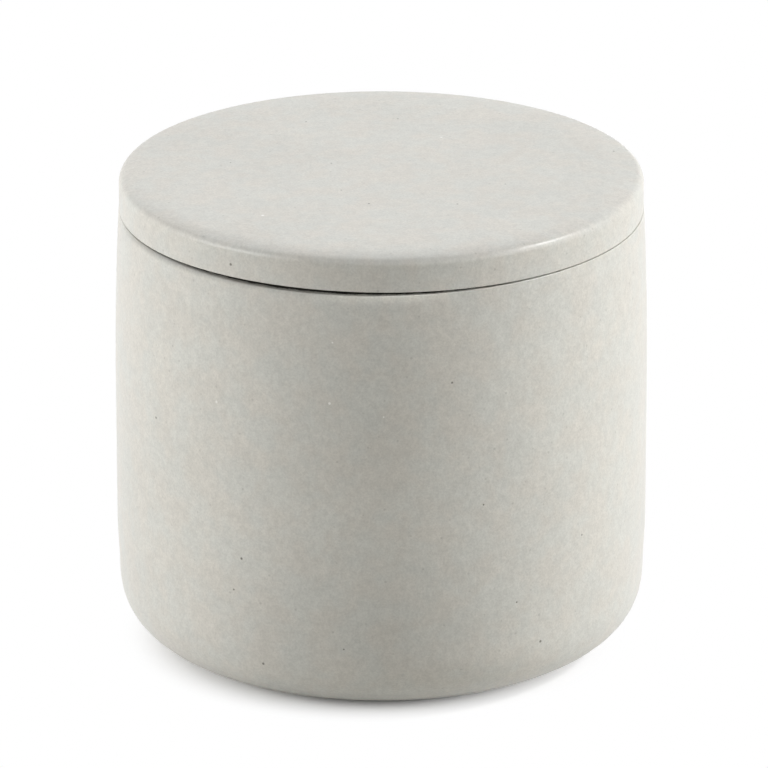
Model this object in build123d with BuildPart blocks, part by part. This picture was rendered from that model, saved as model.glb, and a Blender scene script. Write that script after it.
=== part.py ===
from build123d import *
import os

# A round stoneware box with a flat lid that lifts off, in millimetres.
# Both pieces are turned about the Z axis. The pot stands on its foot ring at Z = 0. The lid
# rests on the flat top of the pot's wall, and a ring under it keeps it centred in the mouth.

# Outside of the pot: the shoulder is the top stretch of the wall, which draws in to the rim
body_diameter = 100.0
body_height = 84.5
base_corner_radius = 12.5
shoulder_height = 34.0
shoulder_draw = 0.9

# Inside of the pot
wall_thickness = 5.0
floor_thickness = 5.5
inner_corner_chamfer = 6.0

# Softened edges of the pot's mouth, with the flat seat for the lid between them
rim_outer_chamfer = 0.8
rim_inner_chamfer = 0.4

# Foot ring, set in from the edge of the flat base
foot_inset = 0.6
foot_width = 4.0
foot_height = 1.0
foot_chamfer = 0.3

# Lid, set back a little from the rim that it rests on
lid_thickness = 7.2
lid_setback = 0.1
lid_top_rounding = 1.35
lid_lower_chamfer = 0.3

# The lid's top is level, and falls gently along its edge
fall_width = 9.4
fall_depth = 0.45

# Locating ring under the lid
ring_clearance = 0.8
ring_width = 4.0
ring_depth = 5.0
ring_end_chamfer = 0.5

# How far a cut or a fused piece runs past the face that it starts from
overrun = 0.5

# Heights nearer to each other than this count as the same height
same_height = 0.01

# Radii and heights that follow from the sizes above
body_radius = body_diameter / 2
base_radius = body_radius - base_corner_radius
rim_radius = body_radius - shoulder_draw
mouth_radius = body_radius - wall_thickness
foot_radius = base_radius - foot_inset
floor_top = foot_height + floor_thickness
shoulder_start = body_height - shoulder_height
seat_height = body_height
lid_radius = rim_radius - lid_setback
lid_top = seat_height + lid_thickness
lid_edge_top = lid_top - fall_depth
level_radius = lid_radius - fall_width
ring_radius = mouth_radius - ring_clearance
ring_end = seat_height - ring_depth


def annulus(radius, width):
    """A flat ring in the sketch being drawn, from its outer radius and its width."""
    Circle(radius)
    Circle(radius - width, mode=Mode.SUBTRACT)


def circles(part, height):
    """The round edges of a part at one height, from the smallest to the largest."""
    rounds = part.edges().filter_by(GeomType.CIRCLE)
    level = rounds.filter_by(lambda edge: abs(edge.center().Z - height) < same_height)
    return level.sort_by(SortBy.RADIUS)


# Pot
with BuildPart() as pot:
    # Outside, from the middle of the base: the rounded corner, the upright wall,
    # the shoulder, one long arc that leaves the wall without a break, and the softened rim
    with BuildSketch(Plane.XZ) as outside:
        with BuildLine():
            base = Line((0, foot_height), (base_radius, foot_height))
            corner_end = (body_radius, foot_height + base_corner_radius)
            corner = TangentArc(base @ 1, corner_end, tangent=base % 1)
            wall = Line(corner @ 1, (body_radius, shoulder_start))
            shoulder = TangentArc(wall @ 1, (rim_radius, body_height), tangent=wall % 1)
            Polyline(shoulder @ 1, (0, body_height), base @ 0)
        make_face()
        rim_corner = outside.vertices().group_by(Axis.Y)[-1].sort_by(Axis.X)[-1]
        chamfer(rim_corner, length=rim_outer_chamfer)
    revolve(axis=Axis.Z)

    # Inside, down to the floor, with a sloping corner all round it and a softened mouth
    with BuildSketch(Plane.XY.offset(floor_top)):
        Circle(mouth_radius)
    extrude(amount=body_height - floor_top + overrun, mode=Mode.SUBTRACT)
    chamfer(circles(pot, floor_top), length=inner_corner_chamfer)
    chamfer(circles(pot, body_height)[0], length=rim_inner_chamfer)

    # Foot ring, fused a little way up into the base
    with BuildSketch(Plane.XY):
        annulus(foot_radius, foot_width)
    extrude(amount=foot_height + overrun)
    chamfer(circles(pot, 0), length=foot_chamfer)

# Lid
with BuildPart() as lid:
    # Half of the disc's section: the level top, its fall, the rounded edge, the side
    # and the underside
    with BuildSketch(Plane.XZ) as section:
        with BuildLine():
            top = [(0, lid_top), (level_radius, lid_top), (lid_radius, lid_edge_top)]
            Polyline(*top, (lid_radius, seat_height), (0, seat_height), close=True)
        make_face()
        lid_corner = section.vertices().group_by(Axis.X)[-1].sort_by(Axis.Y)[-1]
        fillet(lid_corner, radius=lid_top_rounding)
    revolve(axis=Axis.Z)
    chamfer(circles(lid, seat_height)[-1], length=lid_lower_chamfer)

    # Ring that hangs into the mouth, fused a little way up into the disc
    with BuildSketch(Plane.XY.offset(ring_end)):
        annulus(ring_radius, ring_width)
    extrude(amount=ring_depth + overrun)
    chamfer(circles(lid, ring_end), length=ring_end_chamfer)

os.makedirs("parts", exist_ok=True)
pot.part.label = "pot"
export_step(pot.part, "parts/pot.step")
lid.part.label = "lid"
export_step(lid.part, "parts/lid.step")
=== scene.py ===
import math

import bmesh
import bpy
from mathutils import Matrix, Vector


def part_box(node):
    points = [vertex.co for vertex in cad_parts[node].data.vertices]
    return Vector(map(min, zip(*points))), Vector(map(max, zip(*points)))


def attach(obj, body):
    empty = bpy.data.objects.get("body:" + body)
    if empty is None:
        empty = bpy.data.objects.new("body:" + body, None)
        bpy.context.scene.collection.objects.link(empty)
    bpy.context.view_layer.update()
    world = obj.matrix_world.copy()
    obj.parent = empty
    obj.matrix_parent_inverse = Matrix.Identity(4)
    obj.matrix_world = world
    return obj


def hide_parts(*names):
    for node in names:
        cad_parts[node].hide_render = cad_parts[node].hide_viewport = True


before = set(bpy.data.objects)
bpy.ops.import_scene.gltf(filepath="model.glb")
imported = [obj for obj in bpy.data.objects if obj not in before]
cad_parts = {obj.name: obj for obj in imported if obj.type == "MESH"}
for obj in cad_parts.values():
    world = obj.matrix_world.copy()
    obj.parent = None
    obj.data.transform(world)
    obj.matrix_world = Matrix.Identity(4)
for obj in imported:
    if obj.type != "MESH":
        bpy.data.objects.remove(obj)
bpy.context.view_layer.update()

# A round stoneware box with a flat lid, in metres. Both pieces are turned about the Z axis, and
# their outer sizes come from the CAD nodes that they replace. An azimuth is an angle round the
# box in degrees: 0 faces the camera and 90 faces right, as the camera sees it.
mm = 0.001
pot_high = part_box("pot")[1]
lid_low, lid_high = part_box("lid")
body_radius = pot_high.x
seat_height = pot_high.z
lid_radius = lid_high.x
lid_top = lid_high.z
ring_end = lid_low.z

# Pot
wall_thickness = 5 * mm
floor_top = 6.5 * mm
inner_corner_radius = 9 * mm
base_corner_radius = 12.5 * mm
base_draw = 0.4 * mm
base_draw_low = 3 * mm
base_draw_middle = 13 * mm
base_draw_high = 24 * mm
shoulder_height = 34 * mm
shoulder_draw = 0.9 * mm
seat_width = 1.6 * mm
rim_inner_rounding = 0.6 * mm

# The pot's lip, outside the seat: it steps down from the lid, most of all at the front and the
# back, and is rounded over under the lid's edge at the left. The higher a power, the narrower
# is the stretch round the box that it gives
lip_rounding = 0.16 * mm
lip_height = 2.6 * mm
step_width = 0.7 * mm
lip_least_fall = 0.03 * mm
lip_further_fall = 0.47 * mm
lip_lowest_azimuth = -12
lip_fall_power = 2
round_over = 0.45 * mm
round_over_height = 0.6 * mm
round_over_azimuth = -45
round_over_power = 12

# Foot ring
foot_radius = 36.9 * mm
foot_width = 4 * mm
foot_height = 1 * mm
foot_rounding = 0.45 * mm

# Lid: the edge of its underside is raised a little, and more towards one azimuth
lid_top_rounding = 1.35 * mm
lid_lower_rounding = 0.14 * mm
underside_relief = 0.1 * mm
further_relief = 0.24 * mm
further_relief_azimuth = -26
further_relief_power = 14
top_fall_width = 9.4 * mm
top_fall = 0.7 * mm
top_fall_growth = 2.3
top_fall_fade = 2.5 * mm
hollow_depth = 0.1 * mm
hollow_width = 7 * mm
ring_radius = 44.2 * mm
ring_width = 4 * mm
ring_end_rounding = 0.8 * mm
ring_root_rounding = 0.5 * mm

# Radii that follow from the sizes above
mouth_radius = body_radius - wall_thickness
seat_end = mouth_radius + seat_width
foot_inner = foot_radius - foot_width
ring_inner = ring_radius - ring_width
level_radius = lid_radius - top_fall_width

# How finely the two meshes are made
segments = 288
longest_step = 1.5 * mm
shortest_step = 0.08 * mm
arc_step = math.radians(9)


def graded(length):
    """Distances along a straight stretch: fine steps at both ends, even ones between them."""
    half = []
    reach = shortest_step
    while reach < min(longest_step, length / 2):
        half.append(reach)
        reach *= 2
    start = half[-1] if half else 0
    middle = length - 2 * start
    count = max(1, math.ceil(middle / longest_step))
    inner = [start + middle * index / count for index in range(1, count)]
    return half + inner + [length - reach for reach in reversed(half)]


def turned_by(vector, angle):
    """A flat vector, turned by an angle."""
    cosine = math.cos(angle)
    sine = math.sin(angle)
    return Vector((vector.x * cosine - vector.y * sine, vector.x * sine + vector.y * cosine))


def rounded_line(corners):
    """Points (radius, height) along a line through corners, each given with its rounding."""
    points = []
    here = Vector(corners[0][:2])
    for index in range(1, len(corners)):
        corner = Vector(corners[index][:2])
        rounding = corners[index][2]
        before = (here - corner).normalized()
        reach_to_arc = 0
        if rounding > 0:
            after = (Vector(corners[index + 1][:2]) - corner).normalized()
            half_angle = before.angle(after) / 2
            reach_to_arc = rounding / math.tan(half_angle)
        arc_start = corner + before * reach_to_arc
        length = (arc_start - here).length
        points.append(here)
        points += [here - before * reach for reach in graded(length)]
        here = arc_start
        if rounding > 0:
            centre = corner + (before + after).normalized() * rounding / math.sin(half_angle)
            turn = math.pi - 2 * half_angle
            side = 1 if before.cross(after) < 0 else -1
            count = max(2, math.ceil(turn / arc_step))
            for step in range(count):
                points.append(centre + turned_by(arc_start - centre, side * turn * step / count))
            here = corner + after * reach_to_arc
    points.append(here)
    return points


def revolved(name, profile, shape):
    """A closed mesh turned from a profile that starts and ends on the axis."""
    mesh = bmesh.new()
    rings = []
    for radius, height in profile:
        if radius < shortest_step / 2:
            rings.append([mesh.verts.new((0, 0, height))])
            continue
        ring = []
        for index in range(segments):
            angle = 2 * math.pi * index / segments
            near, level = shape(radius, angle, height)
            ring.append(mesh.verts.new((near * math.cos(angle), near * math.sin(angle), level)))
        rings.append(ring)
    for lower, upper in zip(rings, rings[1:]):
        for index in range(segments):
            after = (index + 1) % segments
            if len(lower) == 1:
                mesh.faces.new((lower[0], upper[after], upper[index]))
            elif len(upper) == 1:
                mesh.faces.new((lower[index], lower[after], upper[0]))
            else:
                mesh.faces.new((lower[index], lower[after], upper[after], upper[index]))
    bmesh.ops.recalc_face_normals(mesh, faces=mesh.faces)
    for face in mesh.faces:
        face.smooth = True
    data = bpy.data.meshes.new(name)
    mesh.to_mesh(data)
    mesh.free()
    piece = bpy.data.objects.new(name, data)
    bpy.context.scene.collection.objects.link(piece)
    return piece


def share(value, start, end):
    """How far a value is from the start to the end, from 0 to 1."""
    return min(max((value - start) / (end - start), 0), 1)


def smooth(part):
    """A share from 0 to 1 that leaves and arrives level."""
    return part * part * (3 - 2 * part)


def wave(angle, lobes, azimuth):
    """From 0 to 1 round the box, as many times as it has lobes, highest at an azimuth."""
    return 0.5 + 0.5 * math.cos(lobes * (angle + math.pi / 2 - math.radians(azimuth)))


# The pot's form

def pot_profile():
    """From the middle of the underside, over the foot ring, the outside and the rim, to the floor."""
    corners = [
        (0, foot_height, 0),
        (foot_inner, foot_height, foot_rounding),
        (foot_inner, 0, foot_rounding),
        (foot_radius, 0, foot_rounding),
        (foot_radius, foot_height, foot_rounding / 2),
        (body_radius, foot_height, base_corner_radius),
        (body_radius, seat_height - lip_height, 0),
        (body_radius, seat_height - round_over_height, 0),
        (body_radius, seat_height, lip_rounding),
        (seat_end, seat_height, 0),
        (mouth_radius, seat_height, rim_inner_rounding),
        (mouth_radius, floor_top, inner_corner_radius),
        (0, floor_top, 0),
    ]
    return rounded_line(corners)


def pot_shape(radius, angle, height):
    """Draws the outside in above the base, along the shoulder and at the lip, and lowers the lip."""
    outside = share(radius, seat_end, body_radius)
    past_step = smooth(share(radius, seat_end, seat_end + step_width))
    along_shoulder = share(height, seat_height - shoulder_height, seat_height)
    along_lip = share(height, seat_height - lip_height, seat_height)
    fall = lip_further_fall * wave(angle, 2, lip_lowest_azimuth) ** lip_fall_power
    along_round = share(height, seat_height - round_over_height, seat_height)
    lip = round_over * wave(angle, 1, round_over_azimuth) ** round_over_power
    lip *= 1 - math.sqrt(1 - along_round ** 2)
    near_base = smooth(share(height, base_draw_low, base_draw_middle))
    near_base *= smooth(share(height, base_draw_high, base_draw_middle))
    radius -= outside * (base_draw * near_base + shoulder_draw * along_shoulder ** 2 + lip)
    return radius, height - past_step * along_lip * (lip_least_fall + fall)


# The lid's form

def lid_profile():
    """From the middle of the underside, over the ring and the edge, to the middle of the top."""
    corners = [
        (0, seat_height, 0),
        (ring_inner, seat_height, ring_root_rounding),
        (ring_inner, ring_end, ring_end_rounding),
        (ring_radius, ring_end, ring_end_rounding),
        (ring_radius, seat_height, ring_root_rounding),
        (seat_end, seat_height, 0),
        (lid_radius, seat_height + underside_relief, lid_lower_rounding),
        (lid_radius, lid_top, lid_top_rounding),
        (level_radius, lid_top, 0),
        (0, lid_top, 0),
    ]
    return rounded_line(corners)


def lid_shape(radius, angle, height):
    """Lowers the top along its edge and hollows its middle, and raises the edge of the underside."""
    rounding_start = lid_top - lid_top_rounding
    near_top = share(height, rounding_start - top_fall_fade, rounding_start)
    fall = top_fall * share(radius, level_radius, lid_radius) ** top_fall_growth
    hollow = hollow_depth * smooth(share(radius, level_radius, level_radius - hollow_width))
    near_seat = 1 - share(height, seat_height, rounding_start)
    outside = share(radius, seat_end, lid_radius)
    lift = further_relief * wave(angle, 1, further_relief_azimuth) ** further_relief_power
    return radius, height - near_top * (fall + hollow) + near_seat * outside * lift


# Stoneware: lengths here and in its nodes are in millimetres

glaze_colour = (0.600, 0.589, 0.547, 1)
warm_tint = (1.012, 0.996, 0.985, 1)
cool_tint = (0.988, 1.004, 1.012, 1)
# The clay is dark, and darker still to paint the shade where it lies in the seam under the lid
clay_and_seam_shade_colour = (0.07, 0.064, 0.054, 1)
speck_colour = (0.13, 0.12, 0.10, 1)
crystal_colour = (0.86, 0.85, 0.82, 1)

# Cloudy patches of the glaze: their size, and the shades that they go between
grain_size = 0.42
grain_shades = (0.915, 1.085)
fleck_size = 1.3
fleck_shades = (0.968, 1.032)
mottle_size = 3.4
mottle_shades = (0.981, 1.019)
cloud_size = 24
cloud_shades = (0.985, 1.015)
drift_size = 7

# The parts of a noise's range that are used: it seldom goes past them
grain_range = (0.25, 0.75)
usual_range = (0.3, 0.7)
drift_range = (0.35, 0.65)

# Roughness: the glaze is satin, a little uneven, and the clay is matt
glaze_roughness = (0.3, 0.38)
clay_roughness = 0.9

# Relief of the grain, and how many times deeper the specks are as pinholes
relief_height = 0.032
pinhole_depth = 1.5

# Specks and crystals strewn through the body, by their spacing and radius, and how dark the
# specks are. The placed ones are darker
faint_specks = (3.1, 0.3)
faint_strength = 0.2
middling_specks = (12, 0.34)
middling_strength = 0.3
placed_strength = 0.85
strewn_crystals = (19, 0.5)

# The share of its radius within which a strewn or a placed spot is full
strewn_core = 0.5
placed_core = 0.4

# Dark specks that stand out, on the pot: azimuth, height and radius
pot_specks = [
    (-31, 30.5, 0.34), (-26.3, 10.1, 0.36), (-33, 24, 0.26), (-56.5, 52.5, 0.32), (36.5, 12.8, 0.36),
    (15, 67, 0.28), (22, 42.5, 0.24), (48, 31.5, 0.24), (30, 22, 0.24), (-8, 15, 0.22),
    (118, 36, 0.34), (152, 61, 0.28), (-171, 22, 0.36), (-127, 47, 0.3), (-98, 68, 0.26),
]

# Dark specks on the lid: azimuth, distance from the middle, depth below the top and radius
lid_specks = [
    (-34, 49, 4.5, 0.36), (-6.7, 19.6, 0, 0.3), (35.4, 24.2, 0, 0.24), (104, 45, 0, 0.28),
    (-32, 14, 0, 0.22), (-153, 31.5, 0, 0.26), (-111, 10, 0, 0.22), (70, 24.5, 0, 0.22),
    (174, 30, 0, 0.26), (-98, 28.5, 0, 0.22), (131, 49, 3.2, 0.3), (-149, 49, 4.1, 0.26),
]

# White crystals that stand out, given like the specks
pot_crystals = [
    (-10.9, 63.3, 0.34), (-10.3, 75, 0.22), (0.5, 61, 0.2), (127, 58, 0.3), (-142, 33, 0.3),
]
lid_crystals = [(-39.8, 34, 0, 0.42), (149, 22, 0, 0.32)]

# Painted light and shade in the glaze's colour: paler where light falls and darker where shade
# falls, with its roughness changed there. Each place has an azimuth and two nearnesses to it,
# between which it comes up, the heights at which it starts, is full, fades and ends, its shade
# and its roughness. A nearness is the cosine of the angle from the azimuth on the pot's wall,
# and less further in. On the pot: painted light on the front of the lip, painted shade under
# the lid's edge at the left, where the lip is rounded over, which is also made matt, and
# painted shade low at the front. On the lid: painted shade over the top's edge
pot_painted_light_and_shade = [
    (1, (0.93, 1.0), (81.8, 84.1, 90, 91), 1.4, 0.34),
    (-45, (0.78, 0.98), (83.0, 84.4, 90, 91), 0.6, 0.65),
    (-3, (0.72, 0.98), (-2, -1, 12, 42), 0.91, 0.36),
]
lid_painted_shade = [(-13, (0.2, 1.0), (90.0, 91.0, 91.15, 91.6), 0.79, 0.34)]

# Where the clay is bare: from one radius to another, and from one height to another, up to a
# line that wavers by up to the waver's depth. On the pot the seat is bare out into the gap
# under the lid's edge, where the dark clay also paints the seam's shade
pot_bare_clay_and_seam_shade = [(32.3, 37.5, -1, 0.55), (45.3, 48.0, 83.6, 85)]
lid_bare_zones = [(43.4, 48.3, 79, 85.3)]
waver_size = 2.2
waver_depth = 0.25
sand_size = 0.3
sand_shades = (0.8, 1.15)


def add(tree, kind, inputs, **settings):
    """A node with its settings, its inputs given as values or as sockets to link."""
    node = tree.nodes.new(kind)
    for key, value in settings.items():
        setattr(node, key, value)
    for key, value in inputs.items():
        if isinstance(value, bpy.types.NodeSocket):
            tree.links.new(value, node.inputs[key])
        else:
            node.inputs[key].default_value = value
    return node


def millimetres(tree):
    """The place on the piece, in millimetres."""
    place = tree.nodes.new("ShaderNodeTexCoord").outputs["Object"]
    scale = {0: place, "Scale": 1 / mm}
    return add(tree, "ShaderNodeVectorMath", scale, operation="SCALE").outputs[0]


def noise(tree, place, size, detail=2, roughness=0.6):
    """Cloudy noise about 0.5, whose patches are about as large as size."""
    inputs = {"Vector": place, "Scale": 1 / size, "Detail": detail, "Roughness": roughness}
    return add(tree, "ShaderNodeTexNoise", inputs).outputs[0]


def mapped(tree, value, low, high, to_low=0.0, to_high=1.0):
    """A value carried smoothly from one range to another, and held at its ends."""
    inputs = {0: value, 1: low, 2: high, 3: to_low, 4: to_high}
    return add(tree, "ShaderNodeMapRange", inputs, interpolation_type="SMOOTHSTEP").outputs[0]


def maths(tree, operation, first, second):
    """Two values joined by an operation, such as MULTIPLY or MAXIMUM."""
    return add(tree, "ShaderNodeMath", {0: first, 1: second}, operation=operation).outputs[0]


def blended(tree, factor, first, second):
    """Two plain values mixed."""
    inputs = {0: factor, 2: first, 3: second}
    return add(tree, "ShaderNodeMix", inputs, data_type="FLOAT").outputs[0]


def mixed(tree, factor, first, second, blend="MIX"):
    """Two colours mixed."""
    inputs = {0: factor, 6: first, 7: second}
    node = add(tree, "ShaderNodeMix", inputs, data_type="RGBA", blend_type=blend)
    return node.outputs[2]


def shaded(tree, colour, brightness):
    """A colour made brighter or darker."""
    inputs = {0: brightness, 1: brightness, 2: brightness}
    grey = add(tree, "ShaderNodeCombineColor", inputs).outputs[0]
    return mixed(tree, 1.0, colour, grey, "MULTIPLY")


def scattered(tree, place, spacing, radius):
    """1 on small dots strewn through the body, unequal because the surface cuts them anywhere."""
    inputs = {"Vector": place, "Scale": 1 / spacing, "Randomness": 1.0}
    away = add(tree, "ShaderNodeTexVoronoi", inputs).outputs["Distance"]
    return mapped(tree, away, strewn_core * radius / spacing, radius / spacing, 1, 0)


def placed(tree, place, spots):
    """1 on each of the spots, given as a point and a radius."""
    found = None
    for point, radius in spots:
        inputs = {0: place, 1: point}
        away = add(tree, "ShaderNodeVectorMath", inputs, operation="DISTANCE").outputs["Value"]
        spot = mapped(tree, away, placed_core * radius, radius, 1, 0)
        found = spot if found is None else maths(tree, "MAXIMUM", found, spot)
    return found


def around(azimuth, radius, height):
    """A point at an azimuth, a radius and a height."""
    angle = math.radians(azimuth)
    return (radius * math.sin(angle), -radius * math.cos(angle), height)


def glaze(tree, place, grain, mottle):
    """Grey glaze with grain, flecks, mottling and clouds, which drifts between warm and cool."""
    fleck = noise(tree, place, fleck_size, detail=1)
    cloud = noise(tree, place, cloud_size, detail=1)
    brightness = mapped(tree, grain, *grain_range, *grain_shades)
    for patches, shades in ((fleck, fleck_shades), (mottle, mottle_shades), (cloud, cloud_shades)):
        shade = mapped(tree, patches, *usual_range, *shades)
        brightness = maths(tree, "MULTIPLY", brightness, shade)
    drift = mapped(tree, noise(tree, place, drift_size), *drift_range)
    tint = mixed(tree, drift, warm_tint, cool_tint)
    return mixed(tree, 1.0, shaded(tree, glaze_colour, brightness), tint, "MULTIPLY")


def darkness_of_specks(tree, place, spots):
    """How dark the specks are: the placed ones, a few middling and many faint."""
    faint = maths(tree, "MULTIPLY", scattered(tree, place, *faint_specks), faint_strength)
    middling = maths(tree, "MULTIPLY", scattered(tree, place, *middling_specks), middling_strength)
    large = maths(tree, "MULTIPLY", placed(tree, place, spots), placed_strength)
    return maths(tree, "MAXIMUM", maths(tree, "MAXIMUM", faint, middling), large)


def painted_light_and_shade(tree, place, painted_places, colour, rough):
    """The glaze's colour with painted light and shade in places, and its roughness changed there."""
    height = add(tree, "ShaderNodeSeparateXYZ", {0: place}).outputs["Z"]
    for azimuth, nearness, (start, full, fading, end), shade, roughness in painted_places:
        toward = {0: place, 1: around(azimuth, mm / body_radius, 0)}
        near = add(tree, "ShaderNodeVectorMath", toward, operation="DOT_PRODUCT").outputs["Value"]
        amount = mapped(tree, near, *nearness)
        amount = maths(tree, "MULTIPLY", amount, mapped(tree, height, start, full))
        amount = maths(tree, "MULTIPLY", amount, mapped(tree, height, end, fading))
        colour = mixed(tree, amount, colour, shaded(tree, colour, shade))
        rough = blended(tree, amount, rough, roughness)
    return colour, rough


def bareness(tree, place, zones):
    """1 where the clay is bare, up to a line that wavers a little."""
    parts = add(tree, "ShaderNodeSeparateXYZ", {0: place})
    flat = add(tree, "ShaderNodeCombineXYZ", {0: parts.outputs["X"], 1: parts.outputs["Y"]})
    out = add(tree, "ShaderNodeVectorMath", {0: flat.outputs[0]}, operation="LENGTH")
    line = noise(tree, place, waver_size)
    waver = mapped(tree, line, *usual_range, -waver_depth, waver_depth)
    radius = maths(tree, "ADD", out.outputs["Value"], waver)
    height = maths(tree, "ADD", parts.outputs["Z"], waver)
    bare = None
    for inner, outer, low, high in zones:
        zone = maths(tree, "GREATER_THAN", radius, inner)
        zone = maths(tree, "MULTIPLY", zone, maths(tree, "LESS_THAN", radius, outer))
        zone = maths(tree, "MULTIPLY", zone, maths(tree, "GREATER_THAN", height, low))
        zone = maths(tree, "MULTIPLY", zone, maths(tree, "LESS_THAN", height, high))
        bare = zone if bare is None else maths(tree, "MAXIMUM", bare, zone)
    return bare


def clay_and_seam_shade(tree, place):
    """Dark clay with sand in it, which in the seam under the lid also paints its shade."""
    sand = mapped(tree, noise(tree, place, sand_size), *usual_range, *sand_shades)
    return shaded(tree, clay_and_seam_shade_colour, sand)


def stoneware(name, specks, crystals, bare_clay_and_seam_shade, painted_places):
    """Satin grey glaze with specks, painted light and shade in places, and bare clay in its zones."""
    material = bpy.data.materials.new(name)
    material.use_nodes = True
    tree = material.node_tree
    shader = tree.nodes["Principled BSDF"]
    place = millimetres(tree)
    grain = noise(tree, place, grain_size, detail=3, roughness=0.7)
    mottle = noise(tree, place, mottle_size)

    # Glaze with its specks and crystals
    dark = darkness_of_specks(tree, place, specks)
    specked = mixed(tree, dark, glaze(tree, place, grain, mottle), speck_colour)
    strewn = scattered(tree, place, *strewn_crystals)
    crystal = maths(tree, "MAXIMUM", strewn, placed(tree, place, crystals))
    finished = mixed(tree, crystal, specked, crystal_colour)
    rough = mapped(tree, mottle, *usual_range, *glaze_roughness)
    # Painted light and shade in the glaze, and its roughness there
    finished, rough = painted_light_and_shade(tree, place, painted_places, finished, rough)

    # Bare clay over it, whose dark colour in the seam under the lid also paints the seam's shade
    bare = bareness(tree, place, bare_clay_and_seam_shade)
    colour = mixed(tree, bare, finished, clay_and_seam_shade(tree, place))
    tree.links.new(colour, shader.inputs["Base Color"])
    tree.links.new(blended(tree, bare, rough, clay_roughness), shader.inputs["Roughness"])

    # Relief: the grain stands up, and the specks are pinholes
    relief = maths(tree, "SUBTRACT", grain, maths(tree, "MULTIPLY", dark, pinhole_depth))
    heights = {"Height": relief, "Distance": relief_height * mm, "Strength": 1.0}
    bump = add(tree, "ShaderNodeBump", heights)
    tree.links.new(bump.outputs[0], shader.inputs["Normal"])
    return material


def pot_spots(places):
    """Spots on the pot's wall, in millimetres."""
    spots = []
    for azimuth, height, radius in places:
        level = height * mm
        below = max(foot_height + base_corner_radius - level, 0)
        tuck = base_corner_radius - math.sqrt(base_corner_radius ** 2 - below ** 2)
        out, level = pot_shape(body_radius - tuck, 0, level)
        spots.append((around(azimuth, out / mm, level / mm), radius))
    return spots


def lid_spots(places):
    """Spots on the lid's top, where their depth is 0, or on its side, in millimetres."""
    spots = []
    for azimuth, out, depth, radius in places:
        level = lid_top - depth * mm
        if depth == 0:
            out, level = (size / mm for size in lid_shape(out * mm, 0, level))
        else:
            level /= mm
        spots.append((around(azimuth, out, level), radius))
    return spots


# Floor: white paper that keeps the box's shadow and is plain white to the camera further out.
# It lies a hair below the foot. The camera sees it brighter than the light that it throws back

floor_reach = 3.0
paper_drop = 0.02 * mm
paper_colour = (0.63, 0.62, 0.575, 1)
paper_seen_colour = (1.2, 1.2, 1.2, 1)
shadow_centre = (-2 * mm, -1.3 * mm, 0)
shadow_start = 35 * mm
shadow_end = 47.5 * mm


def background_rays(tree):
    """1 for the rays that see the background: the camera's, and those in gloss and glass."""
    paths = tree.nodes.new("ShaderNodeLightPath")
    seen = maths(tree, "MAXIMUM", paths.outputs["Is Camera Ray"], paths.outputs["Is Glossy Ray"])
    return maths(tree, "MAXIMUM", seen, paths.outputs["Is Transmission Ray"])


def white_paper():
    """Matt paper near the box, and plain white further out."""
    material = bpy.data.materials.new("white_paper")
    material.use_nodes = True
    tree = material.node_tree
    tree.nodes.clear()
    seen = background_rays(tree)
    camera = tree.nodes.new("ShaderNodeLightPath").outputs["Is Camera Ray"]
    colour = mixed(tree, camera, paper_colour, paper_seen_colour)
    matt = add(tree, "ShaderNodeBsdfDiffuse", {"Color": colour}).outputs[0]
    white = add(tree, "ShaderNodeEmission", {"Strength": 1.0}).outputs[0]
    place = tree.nodes.new("ShaderNodeTexCoord").outputs["Object"]
    reach = add(tree, "ShaderNodeVectorMath", {0: place, 1: shadow_centre}, operation="DISTANCE")
    fade = mapped(tree, reach.outputs["Value"], shadow_start, shadow_end)
    away = maths(tree, "MULTIPLY", seen, fade)
    shown = add(tree, "ShaderNodeMixShader", {0: away, 1: matt, 2: white}).outputs[0]
    add(tree, "ShaderNodeOutputMaterial", {"Surface": shown})
    return material


def floor():
    """A large square of paper."""
    corners = [(x, y, 0) for x, y in ((-1, -1), (1, -1), (1, 1), (-1, 1))]
    data = bpy.data.meshes.new("floor")
    data.from_pydata([Vector(corner) * floor_reach for corner in corners], [], [(0, 1, 2, 3)])
    data.materials.append(white_paper())
    plane = bpy.data.objects.new("floor", data)
    plane.location.z = -paper_drop
    bpy.context.scene.collection.objects.link(plane)


def white_surroundings():
    """White for the camera, gloss and glass, and dark as a studio for the rest."""
    world = bpy.data.worlds.new("surroundings")
    bpy.context.scene.world = world
    world.use_nodes = True
    tree = world.node_tree
    tree.nodes.clear()
    dark = add(tree, "ShaderNodeBackground", {"Color": (0, 0, 0, 1)}).outputs[0]
    white = add(tree, "ShaderNodeBackground", {"Color": (1, 1, 1, 1)}).outputs[0]
    inputs = {0: background_rays(tree), 1: dark, 2: white}
    shown = add(tree, "ShaderNodeMixShader", inputs).outputs[0]
    add(tree, "ShaderNodeOutputWorld", {"Surface": shown})


# Lamps: soft boxes at one distance, low and high on both sides and behind. Each has an azimuth
# and an elevation in degrees, a width, a depth and a power in watts

lamps = {
    "left_low": (-90, 10, 0.9, 0.5, 7.1),
    "right_low": (90, 10, 0.4, 0.4, 4.8),
    "left_front": (-64, 20, 0.6, 0.5, 4.9),
    "right_front": (64, 20, 0.4, 0.4, 3.0),
    "left_middle": (-90, 40, 0.4, 0.4, 0.8),
    "right_small": (87, 40, 0.14, 0.14, 7.5),
    "left_high": (-110, 58, 0.8, 0.8, 1.4),
    "back_high": (180, 68, 1.2, 1.2, 5.1),
    "back_low": (-165, 15, 0.4, 0.4, 1.4),
}
lamp_distance = 1.2
lamp_aim = Vector((0, 0, 45 * mm))

# Lamps lower than this light the box but don't show in its gloss, where they would whiten the
# lid as seen from the side
lowest_in_gloss = 16


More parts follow.
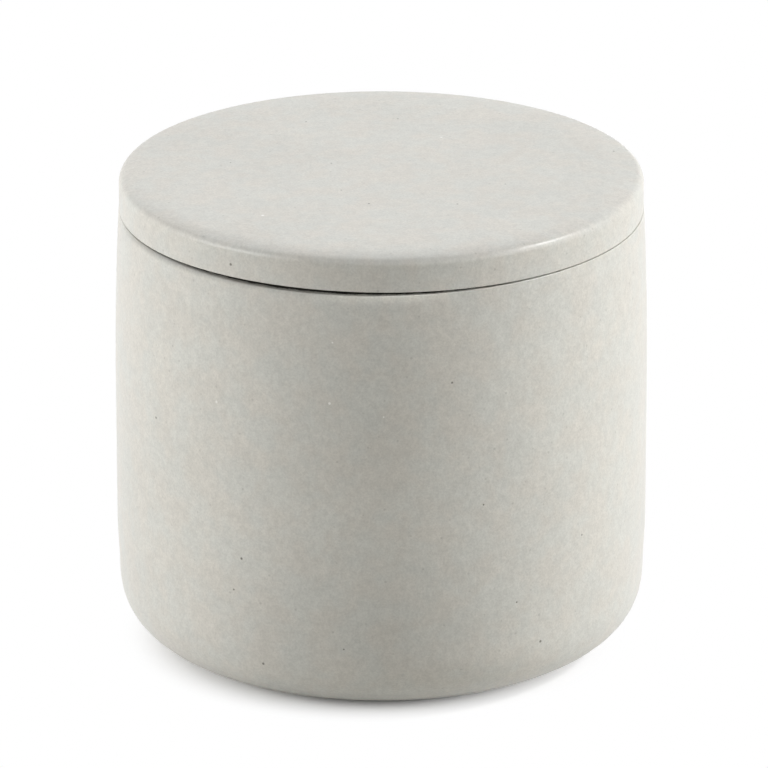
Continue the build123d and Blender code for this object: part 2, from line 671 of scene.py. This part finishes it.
def add_lamp(name, azimuth, elevation, width, depth, power):
    """A soft box that faces the middle of the box."""
    turn = math.radians(azimuth)
    rise = math.radians(elevation)
    level = math.cos(rise)
    away = Vector((math.sin(turn) * level, -math.cos(turn) * level, math.sin(rise)))
    data = bpy.data.lights.new(name, "AREA")
    data.shape = "RECTANGLE"
    data.size = width
    data.size_y = depth
    data.energy = power
    lamp = bpy.data.objects.new(name, data)
    lamp.location = lamp_aim + away * lamp_distance
    lamp.rotation_euler = away.to_track_quat("Z", "Y").to_euler()
    lamp.visible_camera = False
    lamp.visible_glossy = elevation >= lowest_in_gloss
    bpy.context.scene.collection.objects.link(lamp)


# Camera: a long lens, a little above the box

camera_lens = 375
sensor_width = 36
camera_distance = 1.5078
camera_elevation = math.radians(20.371)
camera_aim = Vector((0.5 * mm, 0, 48.9 * mm))


def add_camera():
    """The camera at the photo's angle."""
    data = bpy.data.cameras.new("camera")
    data.lens = camera_lens
    data.sensor_width = sensor_width
    camera = bpy.data.objects.new("camera", data)
    back = Vector((0, -math.cos(camera_elevation), math.sin(camera_elevation)))
    camera.location = camera_aim + back * camera_distance
    camera.rotation_euler = (-back).to_track_quat("-Z", "Y").to_euler()
    bpy.context.scene.collection.objects.link(camera)
    bpy.context.scene.camera = camera


# The two pieces, and what is around them

add_camera()
pot_piece = revolved("glazed_pot", pot_profile(), pot_shape)
pot_marks = (pot_spots(pot_specks), pot_spots(pot_crystals))
pot_piece.data.materials.append(stoneware("pot_stoneware", *pot_marks, pot_bare_clay_and_seam_shade, pot_painted_light_and_shade))
lid_piece = revolved("glazed_lid", lid_profile(), lid_shape)
lid_marks = (lid_spots(lid_specks), lid_spots(lid_crystals))
lid_piece.data.materials.append(stoneware("lid_stoneware", *lid_marks, lid_bare_zones, lid_painted_shade))
for piece, node in ((pot_piece, "pot"), (lid_piece, "lid")):
    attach(piece, node)
    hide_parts(node)
floor()
white_surroundings()
for name, places in lamps.items():
    add_lamp(name, *places)
bpy.context.scene.view_settings.view_transform = "Standard"
